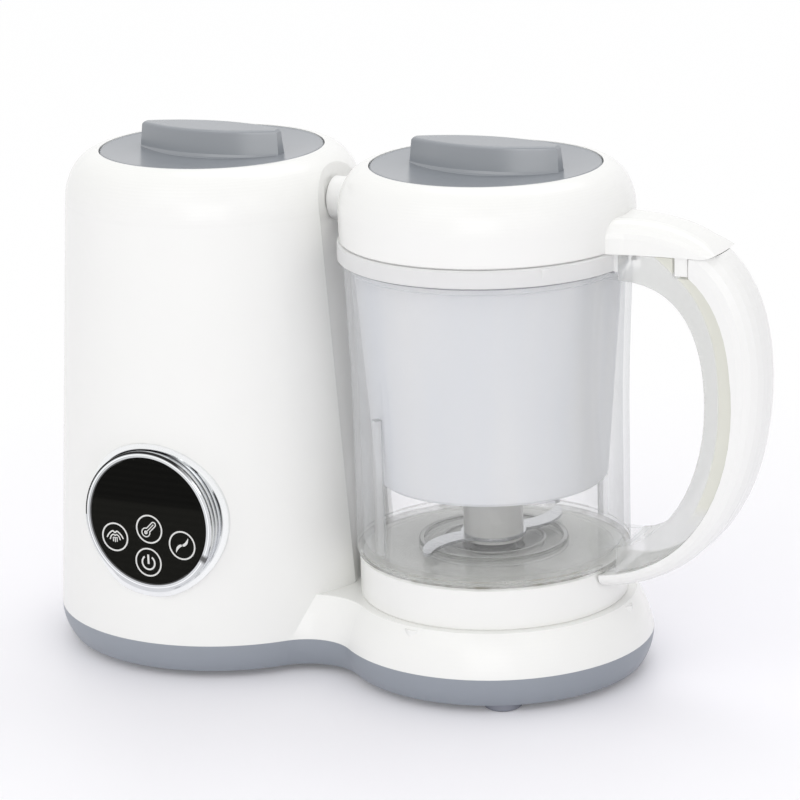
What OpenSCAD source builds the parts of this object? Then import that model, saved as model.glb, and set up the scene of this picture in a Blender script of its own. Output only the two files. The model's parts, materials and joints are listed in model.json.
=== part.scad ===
// Baby food maker: a steamer tower and a blender jug on one shared base.
// Millimetres. Z is up, -Y is the front, +X is the handle side.
// The origin is the middle of the footprint, on the surface that the feet stand on.

/* [Base] */
// Distance from the tower's axis to the jug's axis
axis_gap = 117.6; // [114:0.2:124]
// Radius of the tower where it meets the grey base
tower_r = 68.4; // [66:0.2:72]
// Radius of the platform round the jug, where it meets the grey base
platform_r = 61.8; // [60:0.2:66]
// Radius of the hollow fillet between the two round ends
waist_r = 19; // [14:0.5:26]
// Height of the rubber feet
foot_h = 3; // [2:0.5:5]
// Height of the grey base tub
tub_h = 11.4; // [10:0.2:14]
// Radius of the curve that draws the tub in towards its bottom
tub_curve_r = 20; // [16:0.5:30]
// Wall of the base tub
tub_wall = 2.5; // [2:0.1:3]
// Height of the white shoulder of the platform above the seam
shoulder_h = 16.1; // [14:0.1:20]
// Radius of the shoulder's curve
shoulder_r = 45; // [38:1:60]

/* [Tower] */
// Height of the rim round the tank cap
tower_top_z = 197.3; // [190:0.1:215]
// Height of the rounded top edge
tower_round_h = 20; // [14:0.5:26]
// Radius of the tower under its rounded top edge
tower_top_r = 58.3; // [56:0.1:62]
// Wall of the white housing
shell_wall = 2.6; // [2:0.1:3.2]
// Gap between the jug's foot and the scooped recess in the tower
recess_gap = 2.9; // [2:0.1:5]
// Outward slope of the recess, in millimetres per millimetre of height
recess_slope = 0.065; // [0.04:0.005:0.09]

/* [Grip plates] */
// Radius of the grey plates on the tower and on the lid
plate_r = 43.8; // [40:0.1:46]
// Depth of the dish in the plates
plate_dish = 2.6; // [1:0.1:4]
// Half length of the leaf-shaped grip
grip_half_l = 30.3; // [24:0.1:34]
// Width of the grip at its middle
grip_w = 21.5; // [16:0.5:28]
// Width of the grip at its blunt ends
grip_end_w = 5.2; // [3:0.2:8]
// Height of the grip above the bottom of the dish
grip_h = 10.8; // [8:0.2:16]

/* [Display] */
// Radius of the glass panel
panel_r = 25.1; // [22:0.1:27]
// Width of the flat chrome ring round the panel
bezel_ring_w = 2.8; // [2:0.1:4]
// How far the bezel's foot is wider than its ring
bezel_foot_w = 2.3; // [1:0.1:3]
// Height of the panel's middle above the table
display_z = 63.7; // [55:0.1:80]
// Sideways shift of the display from the tower's middle
display_x_off = 2.6; // [0:0.1:6]
// Distance from the tower's axis to the bezel's face
display_y = 67.5; // [66.5:0.1:68.3]

/* [Jug] */
// Outer radius of the straight lower part of the jug
jug_r = 53; // [51:0.1:55]
// Outer radius of the jug just under its rim band
jug_top_r = 55; // [54:0.1:56]
// Wall of the clear jug
jug_wall = 2.6; // [2:0.1:3]
// Height of the jug's bottom above the table
jug_z = 47; // [44:0.5:52]
// Height of the jug from its bottom to its rim
jug_h = 123; // [110:0.5:140]
// Radius of the rim band
rim_r = 57; // [56:0.1:58]
// Height of the rim band
rim_h = 7; // [5:0.1:9]
// Thickness of the jug's floor
jug_floor = 3; // [2.4:0.1:4]
// Height of the two ribs inside the jug, from its bottom
rib_h = 58; // [40:1:70]

/* [Handle] */
// Width of the handle, front to back
handle_w = 24; // [20:0.5:30]
// Reach of the handle from the jug's axis
handle_reach = 112.7; // [108:0.1:122]
// Distance from the jug's axis to the inside of the handle
finger_reach = 91.1; // [86:0.1:94]
// Share of the handle's depth that the clear core takes in its upper half
core_share = 0.48; // [0.4:0.01:0.55]
// How much that share grows down to the foot
core_growth = 0.18; // [0:0.01:0.25]
// Wall of the white handle shell
handle_wall = 2.4; // [1.8:0.1:3]

/* [Lid] */
// Height of the lid's rim round its grip plate, above the jug's rim
lid_h = 28.3; // [24:0.1:34]
// Radius of the lid's side
lid_r = 56.3; // [55.5:0.1:56.8]
// Wall of the lid
lid_wall = 2.5; // [2:0.1:3]
// Radius of the rounded nose at the end of the lid's arm
nose_r = 12; // [8:0.5:16]
// Depth of the locking tongue under the arm
tongue_h = 7; // [5:0.2:9]

/* [Basket] */
// Radius of the basket's floor
basket_r = 44.7; // [42:0.1:45.5]
// Wall of the steam basket
basket_wall = 1.6; // [1.2:0.1:2]
// Height of the basket's floor above the jug's bottom
basket_z_off = 29.5; // [28:0.5:34]

/* [Drive] */
// Radius of the motor can
motor_r = 22; // [18:0.5:24]
// Length of the motor can
motor_l = 56; // [48:1:60]
// Radius of the spindle and of the bearings' bore, less the fit
spindle_r = 4; // [3:0.1:5]
// Radius of the motor pulley over its belt band
small_pulley_r = 9.5; // [8:0.1:12]
// Radius of the spindle pulley over its belt band
big_pulley_r = 22.8; // [18:0.1:25]
// Outer radius of the blade column
hub_r = 11.6; // [11:0.1:13]
// Tip radius of the lower blades
low_blade_r = 38; // [24:0.5:42]
// Tip radius of the upper blades
high_blade_r = 38; // [30:0.5:41]

/* [Fits] */
// Radial clearance of a running shaft
run_gap = 0.06; // [0.02:0.01:0.1]
// Gap between pieces that lift or turn past each other
lift_gap = 0.3; // [0.2:0.05:0.5]
// Gap round pieces that are seated for good
seat_gap = 0.15; // [0.05:0.05:0.3]

/* [Hidden] */

$fn = 96;
arc_n = 10;

// Places of the two main axes: the footprint's middle is the origin
jug_x = (axis_gap + tower_r - handle_reach) / 2;
tower_x = jug_x - axis_gap;

// Heights
seam_z = foot_h + tub_h;
shoulder_z = seam_z + shoulder_h;
tub_floor_z = foot_h + tub_wall;
jug_rim_z = jug_z + jug_h;
band_z = jug_rim_z - rim_h;
lid_z = jug_rim_z + lift_gap;
lid_top_z = jug_rim_z + lid_h;
basket_z = jug_z + basket_z_off;

// Seat and recess
seat_r = 52;
seat_top_z = jug_z - 0.2;
recess_r = seat_r + recess_gap;
shoulder_lean = 11;

// Colours
white = [0.93, 0.93, 0.92];
grey = [0.60, 0.62, 0.66];
clear = [0.80, 0.84, 0.86, 0.45];
milky = [0.90, 0.93, 0.96, 0.75];
steel = [0.72, 0.73, 0.75];
dark = [0.13, 0.13, 0.14];

module at_tower() { translate([tower_x, 0, 0]) children(); }
module at_jug() { translate([jug_x, 0, 0]) children(); }
module ring(r_out, r_in, z0, z1) {
    translate([0, 0, z0])
        difference() {
            cylinder(r = r_out, h = z1 - z0);
            translate([0, 0, -1]) cylinder(r = r_in, h = z1 - z0 + 2);
        }
}
module post(r, z0, z1) { translate([0, 0, z0]) cylinder(r = r, h = z1 - z0); }

function lerp(a, b, k) = a + (b - a) * k;
function bezier(p, t) = pow(1 - t, 3) * p[0] + 3 * pow(1 - t, 2) * t * p[1]
    + 3 * (1 - t) * t * t * p[2] + pow(t, 3) * p[3];
function quarter_ellipse(x, z, a, b, from, to, n) =
    [for (i = [0 : n]) let (t = lerp(from, to, i / n)) [x + a * cos(t), z + b * sin(t)]];

// ---------- Two round ends joined by hollow fillets ----------

// How far the wall leans in at height h above the seam, and at depth h below it
function shoulder_inset(h) = shoulder_r * cos(shoulder_lean)
    - sqrt(pow(shoulder_r, 2) - pow(h + shoulder_r * sin(shoulder_lean), 2));
function tub_inset(h) = tub_curve_r - sqrt(pow(tub_curve_r, 2) - h * h);
shoulder_curve = [for (i = [0 : arc_n]) let (h = shoulder_h * i / arc_n) [shoulder_inset(h), seam_z + h]];
tub_curve = [for (i = [arc_n : -1 : 0]) let (h = tub_h * i / arc_n) [tub_inset(h), seam_z - h]];

// A round end whose wall follows a curve of [inset, height] points
module round_end(r, curve) {
    last = len(curve) - 1;
    rotate_extrude()
        polygon(concat([[0, curve[0][1]]], [for (p = curve) [r - p[0], p[1]]], [[0, curve[last][1]]]));
}
// Where the hollow fillets have their centres
fillet_d1 = tower_r + waist_r;
fillet_d2 = platform_r + waist_r;
fillet_x = (axis_gap * axis_gap + fillet_d1 * fillet_d1 - fillet_d2 * fillet_d2) / (2 * axis_gap);
fillet_y = sqrt(fillet_d1 * fillet_d1 - fillet_x * fillet_x);

// The hollow fillets bite this far into the round ends, so that both meet in a clean edge
fillet_bite = 0.02;

module waist(curve, off) {
    last = len(curve) - 1;
    r = waist_r + off + fillet_bite;
    z0 = curve[0][1];
    z1 = curve[last][1];
    difference() {
        at_tower()
            translate([0, 0, z0])
                linear_extrude(z1 - z0)
                    polygon([[0, 0], [fillet_x, -fillet_y], [axis_gap, 0], [fillet_x, fillet_y]]);
        for (side = [-1, 1])
            translate([tower_x + fillet_x, side * fillet_y, 0])
                rotate_extrude()
                    polygon(concat([[0, z0 - 1], [r + curve[0][0], z0 - 1]],
                        [for (p = curve) [r + p[0], p[1]]],
                        [[r + curve[last][0], z1 + 1], [0, z1 + 1]]));
    }
}
module footprint(curve, off) {
    at_tower() round_end(tower_r - off, curve);
    at_jug() round_end(platform_r - off, curve);
    waist(curve, off);
}

// ---------- Base ----------

function between(curve, z0, z1) = [for (p = curve) if (p[1] > z0 && p[1] < z1) p];
tub_inner = concat([[tub_inset(seam_z - tub_floor_z), tub_floor_z]],
    between(tub_curve, tub_floor_z, seam_z), [[0, seam_z + 1]]);

foot_r = 7.5;
foot_places = [[jug_x + 23, 45], [jug_x + 23, -45], [tower_x - 14.5, 50], [tower_x - 14.5, -50]];
screw_r = 1.5;
shell_boss_r = 4.2;
shell_boss_z = tub_floor_z + 3;
// The tower's bosses stand just clear of the tub's wall
boss_d = tower_r - tub_wall - tub_inset(seam_z - shell_boss_z) - shell_boss_r - lift_gap;
boss_angles = [118, 180, 242];
shell_boss_places = concat(
    [for (a = boss_angles) [tower_x + boss_d * cos(a), boss_d * sin(a)]],
    [for (a = [-100, 0, 100]) [jug_x + 53 * cos(a), 53 * sin(a)]]);
bracket_z = foot_h + 17.5;
bracket_posts = [for (x = [-26, 26], y = [-22, 22]) [tower_x + x, y]];
vent_n = 7;
vent_pitch = 7;

module base_tub() {
    color(grey)
        difference() {
            union() {
                difference() {
                    footprint(tub_curve, 0);
                    footprint(tub_inner, tub_wall);
                }
                for (p = shell_boss_places) translate([p[0], p[1], 0])
                    post(shell_boss_r, foot_h + 1, shell_boss_z);
                for (p = bracket_posts) translate([p[0], p[1], 0]) post(4, foot_h + 1, bracket_z);
                at_jug() post(9, foot_h + 1, tub_floor_z + 0.8);
                for (side = [-1, 1])
                    translate([tower_x + side * board_half_l, board_y, 0])
                        translate([-3, -3, foot_h + 1]) cube([6, 6, 25]);
            }
            for (p = foot_places) translate([p[0], p[1], 0]) post(foot_r - 1.5, foot_h - 1, foot_h + 1.2);
            for (p = shell_boss_places) translate([p[0], p[1], 0]) {
                post(screw_r + 0.1, foot_h - 1, shell_boss_z + 1);
                post(3.2, foot_h - 1, foot_h + 2);
            }
            for (p = bracket_posts) translate([p[0], p[1], 0])
                post(screw_r, bracket_z - 8, bracket_z + 1);
            for (i = [0 : vent_n - 1])
                translate([tower_x + (i - (vent_n - 1) / 2) * vent_pitch - 1.5, -13, foot_h - 1])
                    cube([3, 26, tub_wall + 2]);
            translate([tower_x - board_half_l - seat_gap, board_y - board_t / 2 - seat_gap, board_z0])
                cube([2 * board_half_l + 2 * seat_gap, board_t + 2 * seat_gap, 40]);
        }
}

module rubber_feet() {
    color(grey)
        for (p = foot_places)
            translate([p[0], p[1], 0])
                rotate_extrude()
                    polygon([[0, 0], [foot_r - 1.2, 0], [foot_r - 0.3, 0.6], [foot_r, foot_h],
                        [foot_r - 1.6, foot_h], [foot_r - 1.6, foot_h + 1.1], [0, foot_h + 1.1]]);
}

module base_screws() {
    color(steel)
        for (p = shell_boss_places)
            translate([p[0], p[1], 0]) {
                difference() {
                    post(3, foot_h + 0.3, foot_h + 2);
                    translate([-2, -0.4, foot_h]) cube([4, 0.8, 1]);
                    translate([-0.4, -2, foot_h]) cube([0.8, 4, 1]);
                }
                post(screw_r - 0.05, foot_h + 2, foot_h + 16);
            }
}

// ---------- White housing ----------

tower_round_r = tower_top_r - plate_r - 0.4;
tower_round_z = tower_top_z - tower_round_h;
mouth_r = plate_r + 0.4;
function tower_r_at(z) = lerp(tower_r, tower_top_r, (z - seam_z) / (tower_round_z - seam_z));
function recess_r_at(z) = recess_r + recess_slope * (z - shoulder_z);

function tower_round(off) =
    quarter_ellipse(mouth_r, tower_round_z, tower_round_r - off, tower_round_h - off, 0, 90, 2 * arc_n);
module tower_form(off) {
    at_tower()
        rotate(180) rotate_extrude()
            polygon(concat([[0, seam_z], [tower_r - off, seam_z]], tower_round(off),
                [[0, tower_top_z - off]]));
}
// The scoop in the tower, wider towards the top
module recess_form(off, z0) {
    at_jug()
        rotate_extrude()
            polygon([[0, z0], [recess_r_at(z0) + off, z0],
                [recess_r_at(tower_top_z + 5) + off, tower_top_z + 5],
                [0, tower_top_z + 5]]);
}
ledge_z = tower_top_z - 5;
tank_top_z = ledge_z - 1.8;
tank_r = 42.5;
tank_wall = 2.2;
seat_hole_r = seat_r - 4.2;
barrel_r = panel_r + bezel_ring_w;
display_x = tower_x + display_x_off;
nozzle_z = tower_top_z - 16.8;
nozzle_r = 8.4;
gland_z = 27;
gland_r = 6;

module housing_inside() {
    difference() {
        at_tower()
            rotate(180) rotate_extrude()
                polygon(concat([[0, seam_z - 1], [tower_r - shell_wall, seam_z - 1]],
                    [for (p = tower_round(shell_wall)) if (p[1] < tank_top_z - 1) p],
                    [[tank_r + 1, tank_top_z], [0, tank_top_z]]));
        // A flat sloping wall behind the scoop
        translate([jug_x, tower_r, 0])
            rotate([90, 0, 0])
                linear_extrude(2 * tower_r)
                    polygon([for (z = [shoulder_z - shell_wall, tower_top_z])
                        [-recess_r_at(z) - shell_wall, z],
                        [0, tower_top_z], [0, shoulder_z - shell_wall]]);
    }
    inner_shoulder = concat([[0, seam_z - 1]],
        between(shoulder_curve, seam_z - 0.1, shoulder_z - shell_wall - 0.5),
        [[shoulder_inset(shoulder_h - shell_wall), shoulder_z - shell_wall]]);
    at_jug() round_end(platform_r - shell_wall, inner_shoulder);
    waist(inner_shoulder, shell_wall);
}

module housing() {
    color(white)
        difference() {
            union() {
                difference() {
                    union() {
                        difference() {
                            tower_form(0);
                            recess_form(0, shoulder_z);
                        }
                        footprint(shoulder_curve, 0);
                    }
                    housing_inside();
                }
                // Screw bosses grow down from the shell, the tower's on ribs
                difference() {
                    union() {
                        for (p = shell_boss_places) translate([p[0], p[1], 0])
                            post(shell_boss_r, shell_boss_z + 0.1, shoulder_z - 1);
                        at_tower()
                            for (a = boss_angles)
                                rotate(a) translate([boss_d, -1.2, seam_z])
                                    cube([tower_r - shell_wall - boss_d, 2.4, shoulder_h - 1]);
                    }
                    for (p = shell_boss_places) translate([p[0], p[1], 0])
                        post(screw_r, shell_boss_z - 1, shoulder_z - 4);
                }
            }
            at_tower() post(mouth_r, ledge_z, tower_top_z + 1);
            at_tower() post(tank_r - tank_wall + 0.4, tank_top_z - 1, tower_top_z + 1);
            at_jug() post(seat_hole_r, seam_z, shoulder_z + 1);
            translate([display_x, 0, display_z]) rotate([90, 0, 0])
                cylinder(r = barrel_r + seat_gap, h = tower_r + 5);
            translate([jug_x - recess_r_at(nozzle_z) - 12, 0, nozzle_z]) rotate([0, 90, 0])
                cylinder(r = nozzle_r - 1.9, h = 20);
            translate([tower_x, 0, gland_z]) rotate([-90, 0, 0])
                cylinder(r = gland_r + 0.1, h = tower_r + 5);
        }
}

// ---------- Seat under the jug ----------

module jug_seat() {
    plate_z = seat_top_z - 2.8;
    well_r = 12;
    color(white)
        at_jug()
            difference() {
                rotate_extrude()
                    polygon([[0, plate_z], [seat_r - 2.6, plate_z], [seat_r - 2.6, shoulder_z + 2.4],
                        [seat_hole_r - 2.4, shoulder_z + 2.4], [seat_hole_r - 2.4, shoulder_z - 2.4],
                        [seat_hole_r - seat_gap, shoulder_z - 2.4], [seat_hole_r - seat_gap, shoulder_z],
                        [seat_r - 0.4, shoulder_z], [seat_r, shoulder_z + 0.5],
                        [seat_r, seat_top_z - 0.8], [seat_r - 0.8, seat_top_z], [0, seat_top_z]]);
                post(well_r, plate_z - 1, seat_top_z + 1);
                for (a = seat_screw_angles) rotate(a) translate([seat_screw_d, 0, 0])
                    post(screw_r, plate_z - 1, plate_z + 2);
            }
}
seat_screw_angles = [30, 150, 270];
seat_screw_d = 19;
block_top_z = seat_top_z - 2.8;
bearing_r = 11;
bearing_h = 7;
bearing_zs = [block_top_z - 0.8 - bearing_h, foot_h + 17];

module spindle_block() {
    flange_h = 3;
    color(dark)
        at_jug()
            difference() {
                union() {
                    post(24, block_top_z - flange_h, block_top_z);
                    post(bearing_r + 3, bearing_zs[1] - 2, block_top_z - 1);
                }
                post(bearing_r, bearing_zs[1], block_top_z + 1);
                post(bearing_r - 3, bearing_zs[1] - 3, block_top_z + 1);
                for (a = seat_screw_angles) rotate(a) translate([seat_screw_d, 0, 0])
                    post(screw_r + 0.1, block_top_z - 5, block_top_z + 1);
            }
}
module seat_screws() {
    head_z = block_top_z - 3;
    color(steel)
        at_jug()
            for (a = seat_screw_angles)
                rotate(a)
                    translate([seat_screw_d, 0, 0]) {
                        post(2.8, head_z - 1.7, head_z);
                        post(screw_r - 0.05, head_z - 0.1, block_top_z + 1.8);
                    }
}
module spindle_bearings() {
    color(steel)
        at_jug()
            for (z = bearing_zs)
                rotate_extrude()
                    difference() {
                        translate([spindle_r + run_gap, z])
                            square([bearing_r - spindle_r - run_gap - 0.02, bearing_h]);
                        translate([(bearing_r + spindle_r) / 2 - 1, z - 0.1]) square([2, 0.8]);
                        translate([(bearing_r + spindle_r) / 2 - 1, z + bearing_h - 0.7])
                            square([2, 0.8]);
                    }
}

// ---------- Display ----------

module facing_front() { translate([display_x, -display_y, display_z]) rotate([90, 0, 0]) children(); }
panel_t = 2.2;
panel_sink = 0.3;
barrel_l = 12;

module display_bezel() {
    ring_turn = 0.6;
    color([0.85, 0.86, 0.88])
        difference() {
            union() {
                facing_front()
                    rotate_extrude()
                        polygon([[panel_r + seat_gap, -barrel_l], [barrel_r, -barrel_l],
                            for (d = [7.2, 4.7, 2.2])
                                each [[barrel_r, -d - 0.45], [barrel_r - 0.4, -d - 0.35],
                                [barrel_r - 0.4, -d], [barrel_r, -d]],
                            [barrel_r, -ring_turn],
                            [barrel_r - ring_turn * 0.3, -ring_turn * 0.3], [barrel_r - ring_turn, 0],
                            [panel_r + seat_gap + 0.3, 0], [panel_r + seat_gap, -0.3]]);
                // The foot follows the tower's wall
                difference() {
                    intersection() {
                        facing_front() translate([0, 0, -20])
                            cylinder(r = barrel_r + bezel_foot_w, h = 20);
                        tower_form(-1.3);
                    }
                    tower_form(-0.05);
                    facing_front() translate([0, 0, -21]) cylinder(r = barrel_r - 1, h = 22);
                }
            }
            // Nothing reaches past the barrel's bore
            facing_front() translate([0, 0, -barrel_l - 10])
                cylinder(r = panel_r + seat_gap, h = barrel_l + 12);
        }
    // Inner ledge that carries the glass
    color([0.85, 0.86, 0.88])
        facing_front()
            difference() {
                translate([0, 0, -panel_t - panel_sink - 1.2])
                    cylinder(r = panel_r + seat_gap + 0.5, h = 1.2);
                translate([0, 0, -panel_t - 5]) cylinder(r = panel_r - 1.8, h = 10);
            }
}
module touch_panel() {
    color(dark)
        facing_front() translate([0, 0, -panel_t - panel_sink]) cylinder(r = panel_r, h = panel_t);
}
module control_board() {
    z0 = -panel_t - panel_sink - 1.2 - 1.8;
    color([0.1, 0.35, 0.2])
        facing_front()
            difference() {
                union() {
                    translate([0, 0, z0]) cylinder(r = panel_r - 0.1, h = 1.6);
                    translate([-8, -8, z0 - 1.4]) cube([16, 16, 1.5]);
                    translate([-16, -14, z0 - 5]) cube([6, 10, 5.1]);
                    for (x = [-15.1, -0.2, 14.6]) translate([x, -9, z0 + 1.5])
                        cylinder(r = 4, h = -panel_t - panel_sink - z0 - 1.5);
                }
                for (a = [45, 225]) rotate(a) translate([panel_r - 4, 0, z0 - 1])
                    cylinder(r = 1.2, h = 4);
            }
}

// ---------- Boards, sensor and gland ----------

board_half_l = 21;
board_y = 47;
board_t = 1.6;
board_z0 = foot_h + 7;
module power_board() {
    board_h = 52;
    color([0.1, 0.35, 0.2])
        translate([tower_x - board_half_l, board_y - board_t / 2, board_z0])
            cube([2 * board_half_l, board_t, board_h]);
    color(dark)
        translate([tower_x - 16, board_y - board_t / 2 - 12, board_z0 + 26]) cube([18, 12.1, 20]);
    color([0.75, 0.6, 0.2])
        translate([tower_x + 6, board_y - board_t / 2 - 7, board_z0 + 26]) cube([12, 7.1, 12]);
}
module lid_sensor() {
    // Flat on the sloping wall behind the scoop, at the height of its top edge
    face_x = recess_r_at(nozzle_z + 6) + shell_wall + 0.1;
    color(dark) at_jug() translate([-face_x - 6, 8.4, nozzle_z - 6]) cube([6, 10, 12]);
}
module cord_gland() {
    gland_l = 9;
    face_y = tower_r_at(gland_z - gland_r - 0.9) + 0.25;
    color(dark)
        translate([tower_x, face_y, gland_z])
            rotate([90, 0, 0])
                rotate_extrude()
                    polygon([[3.2, 0], [gland_r + 0.9, 0], [gland_r + 0.9, 0.2], [gland_r, 0.2],
                        [gland_r, gland_l],
                        [3.2, gland_l]]);
}

// ---------- Motor and belt ----------

belt_z = foot_h + 5.5;
belt_w = 7;
belt_t = 1.4;
groove_n = 3;
groove_d = 0.8;
shaft_r = 2.5;
can_z = bracket_z + 2;

module motor_bracket() {
    color(steel)
        difference() {
            translate([tower_x - 31, -27, bracket_z]) cube([62, 54, 2]);
            at_tower() post(6, bracket_z - 1, bracket_z + 3);
            for (p = bracket_posts) translate([p[0], p[1], 0])
                post(screw_r + 0.2, bracket_z - 1, bracket_z + 3);
        }
}
module motor_screws() {
    color(steel)
        for (p = bracket_posts)
            translate([p[0], p[1], 0]) {
                post(2.8, can_z, can_z + 1.8);
                post(screw_r - 0.05, can_z - 8, can_z + 0.1);
            }
}
module motor_can() {
    can_wall = 2;
    color(steel)
        at_tower()
            difference() {
                union() {
                    post(motor_r, can_z, can_z + motor_l);
                    post(5.8, can_z - 1.5, can_z + 1);
                }
                post(motor_r - can_wall, can_z + 3, can_z + motor_l - 3);
                post(shaft_r + run_gap, can_z - 3, can_z + motor_l + 1);
                for (a = [0 : 60 : 300])
                    rotate(a) translate([13, 0, 0]) post(2.2, can_z + motor_l - 4, can_z + motor_l + 1);
            }
}
module motor_magnets() {
    color(dark)
        at_tower()
            intersection() {
                ring(motor_r - 2 - seat_gap, motor_r - 5.5, can_z + 10, can_z + motor_l - 12);
                translate([-13, -40, can_z]) cube([26, 80, motor_l]);
            }
}
module armature() {
    slot_n = 5;
    core_r = motor_r - 6.5;
    color(steel)
        at_tower() {
            post(shaft_r, belt_z - 1, can_z + motor_l - 0.6);
            difference() {
                post(core_r, can_z + 12, can_z + motor_l - 14);
                for (i = [0 : slot_n - 1])
                    rotate(i * 360 / slot_n) translate([core_r - 5, -1.2, can_z + 11])
                        cube([10, 2.4, motor_l]);
            }
            post(6, can_z + motor_l - 12, can_z + motor_l - 5);
        }
}
module pulley_profile(r, bore_r) {
    rib = belt_w / (2 * groove_n + 1);
    rotate_extrude()
        polygon(concat([[bore_r, belt_z - 1], [r + 1.6, belt_z - 1], [r + 1.6, belt_z - 0.3],
            [r, belt_z - 0.3]],
            [for (i = [0 : groove_n - 1], k = [0 : 3])
                [r - (k == 1 || k == 2 ? groove_d + 0.3 : 0),
                    belt_z + rib * (2 * i + 1 + (k > 1 ? 1 : 0)) + (k > 1 ? 0.15 : -0.15)]],
            [[r, belt_z + belt_w + 0.3], [r + 1.6, belt_z + belt_w + 0.3], [r + 1.6, belt_z + belt_w + 1],
                [bore_r, belt_z + belt_w + 1]]));
}
module motor_pulley() {
    color(dark) at_tower() pulley_profile(small_pulley_r, shaft_r + 0.02);
}
module driven_pulley() {
    color(dark)
        at_jug()
            difference() {
                pulley_profile(big_pulley_r, spindle_r + 0.02);
                for (a = [0 : 60 : 300]) rotate(a) translate([big_pulley_r * 0.6, 0, 0])
                    post(4, belt_z - 2, belt_z + belt_w + 2);
            }
}
// Outline that runs round both pulleys at a distance from their bands
module belt_outline(off) {
    r1 = small_pulley_r + off;
    r2 = big_pulley_r + off;
    lean = asin((r2 - r1) / axis_gap);
    translate([tower_x, 0]) circle(r = r1);
    translate([jug_x, 0]) circle(r = r2);
    polygon([for (q = [[tower_x, r1, 1], [jug_x, r2, 1], [jug_x, r2, -1], [tower_x, r1, -1]])
        [q[0] - (q[1] - 0.01) * sin(lean), q[2] * (q[1] - 0.01) * cos(lean)]]);
}
module drive_belt() {
    rib = belt_w / (2 * groove_n + 1);
    color(dark) {
        translate([0, 0, belt_z])
            linear_extrude(belt_w)
                difference() {
                    belt_outline(0.15 + belt_t);
                    belt_outline(0.15);
                }
        for (i = [0 : groove_n - 1])
            translate([0, 0, belt_z + rib * (2 * i + 1)])
                linear_extrude(rib)
                    difference() {
                        belt_outline(0.3);
                        belt_outline(-groove_d + 0.1);
                    }
    }
}

// ---------- Boiler and tank ----------

shelf_z = foot_h + 85;
shelf_t = 3;
shelf_posts = [[-38, 28], [-38, -28], [34, 34], [34, -34]];
boiler_r = 30;
boiler_h = 21;
boiler_z = shelf_z + shelf_t;
tank_z = boiler_z + boiler_h + 2;
module boiler_shelf() {
    color([0.85, 0.83, 0.78])
        at_tower()
            difference() {
                union() {
                    post(50, shelf_z, boiler_z);
                    for (p = shelf_posts) translate([p[0], p[1], 0]) post(4, tub_floor_z, shelf_z + 1);
                }
                post(boiler_r - 4, shelf_z - 1, boiler_z + 1);
            }
}
port_z = boiler_z + 13;
hose_r = 2.8;
hose_bore_r = 1.9;
module boiler() {
    color(steel)
        at_tower()
            difference() {
                union() {
                    post(boiler_r, boiler_z, boiler_z + boiler_h);
                    translate([boiler_r - 2, 0, port_z]) rotate([0, 90, 0])
                        cylinder(r = hose_bore_r - 0.05, h = 8);
                }
                post(boiler_r - 3, boiler_z + 3, boiler_z + boiler_h + 1);
                translate([boiler_r - 6, 0, port_z]) rotate([0, 90, 0]) cylinder(r = 1, h = 20);
            }
}
module boiler_heater() {
    tube_r = 3.3;
    color(steel)
        at_tower()
            translate([0, 0, boiler_z - tube_r - 0.1])
                rotate([0, 0, 20])
                    rotate_extrude(angle = 320) translate([boiler_r - 9, 0]) circle(r = tube_r, $fn = 32);
}
module thermostat() {
    color(dark)
        at_tower() {
            post(6, boiler_z - 7, boiler_z);
            post(8, boiler_z - 7, boiler_z - 5);
        }
}
module boiler_seal() {
    color([0.8, 0.4, 0.3]) at_tower() ring(boiler_r - 0.4, boiler_r - 4, boiler_z + boiler_h, tank_z);
}
module water_tank() {
    sump_r = 7;
    color(milky)
        at_tower()
            difference() {
                post(tank_r, tank_z, tank_top_z);
                post(tank_r - tank_wall, tank_z + tank_wall, tank_top_z + 1);
                post(sump_r, tank_z - 1, tank_z + tank_wall + 1);
            }
}
hose_x = tank_r + 1 + hose_r;
hose_turn = 4.4;
hose_tail = 1.5;
hose_end_x = hose_x + hose_turn + hose_tail;
module hose_section() {
    difference() {
        circle(r = hose_r, $fn = 32);
        circle(r = hose_bore_r, $fn = 32);
    }
}
module steam_hose() {
    color([0.9, 0.9, 0.88])
        at_tower() {
            translate([boiler_r + seat_gap, 0, port_z])
                rotate([0, 90, 0]) linear_extrude(hose_x - hose_turn - boiler_r - seat_gap)
                    hose_section();
            translate([hose_x - hose_turn, 0, port_z + hose_turn])
                rotate([90, 0, 0]) rotate([0, 0, -90]) rotate_extrude(angle = 90)
                    translate([hose_turn, 0]) hose_section();
            translate([hose_x, 0, port_z + hose_turn]) linear_extrude(nozzle_z - port_z - 2 * hose_turn)
                hose_section();
            translate([hose_x + hose_turn, 0, nozzle_z - hose_turn])
                rotate([90, 0, 0]) rotate([0, 0, 90]) rotate_extrude(angle = 90)
                    translate([hose_turn, 0]) hose_section();
            translate([hose_x + hose_turn, 0, nozzle_z]) rotate([0, 90, 0]) linear_extrude(hose_tail)
                hose_section();
        }
}
nozzle_face_r = rim_r + 0.45;
module steam_nozzle() {
    bore_r = 4;
    flange_x = axis_gap - hose_end_x - recess_r_at(nozzle_z) + 1;
    color([0.86, 0.87, 0.88])
        difference() {
            at_jug()
                translate([hose_end_x - axis_gap, 0, nozzle_z])
                    rotate([0, 90, 0])
                        rotate_extrude()
                            polygon([[hose_bore_r - 0.7, -hose_tail], [hose_bore_r - 0.05, -hose_tail],
                                [hose_bore_r - 0.05, 0.1],
                                [nozzle_r - 2, 0.1], [nozzle_r - 2, flange_x], [nozzle_r, flange_x],
                                [nozzle_r, 20], [bore_r, 20], [bore_r, 2], [hose_bore_r - 0.7, 1.5]]);
            at_jug() post(nozzle_face_r, seat_top_z, tower_top_z + 10);
        }
}

// ---------- Turning pieces under the jug ----------

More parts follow.
